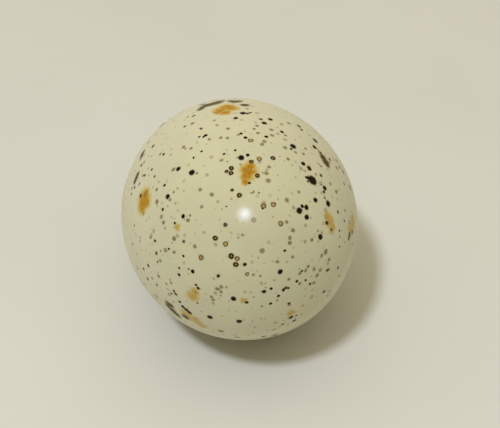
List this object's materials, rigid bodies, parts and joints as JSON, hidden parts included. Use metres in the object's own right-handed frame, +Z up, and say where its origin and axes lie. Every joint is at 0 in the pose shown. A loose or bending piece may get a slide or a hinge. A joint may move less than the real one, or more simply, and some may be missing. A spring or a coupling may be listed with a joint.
{
  "type": "bird's-egg scent bottle",
  "caption": "Hollow egg-shaped porcelain scent bottle, speckled like a wild bird's egg, lying on its side, with a silver collar and a silver screw cap on its narrow end.",
  "frame": {"origin": "on the table, at the middle of the bounding box's bottom", "axes": "+Z up from the table; +Y towards the cap, level with the table; the bottle's own axis lies in the plane x = 0 and dips towards the cap by 20.5 degrees"},
  "size_m": [0.036, 0.0568, 0.0373],
  "materials": {
    "porcelain": "glossy ivory glaze with black-brown specks and ochre blotches",
    "plaster": "matt plaster of Paris",
    "silver": "polished sterling silver, softly worn",
    "inner_silver": "unpolished silver with light tarnish",
    "cork": "natural cork"
  },
  "bodies": {
    "bottle": {"porcelain_body": "porcelain", "neck_cement": "plaster", "collar_skirt": "silver", "collar_foot_wire": "silver", "neck_tube": "inner_silver", "mouth_ring": "silver"},
    "seal": {"cork_seal": "cork"},
    "cap": {"cap_shell": "silver", "cap_rim_wire": "silver", "cap_thread_sleeve": "inner_silver", "cap_backing_disc": "inner_silver"}
  },
  "joints": [
    {"name": "cap_lift", "type": "slide", "parent": "bottle", "child": "seal", "axis": [0, 0.9366, -0.3504], "range_m": [0, 0.0038]},
    {"name": "cap_turn", "type": "hinge", "parent": "seal", "child": "cap", "pos_m": [0, 0.02187, 0.00803], "axis": [0, 0.9366, -0.3504], "range_deg": [0, 900]}
  ],
  "couplings": [
    {"joint": "cap_lift", "follows": "cap_turn", "m_per_rad": 0.00023873}
  ]
}
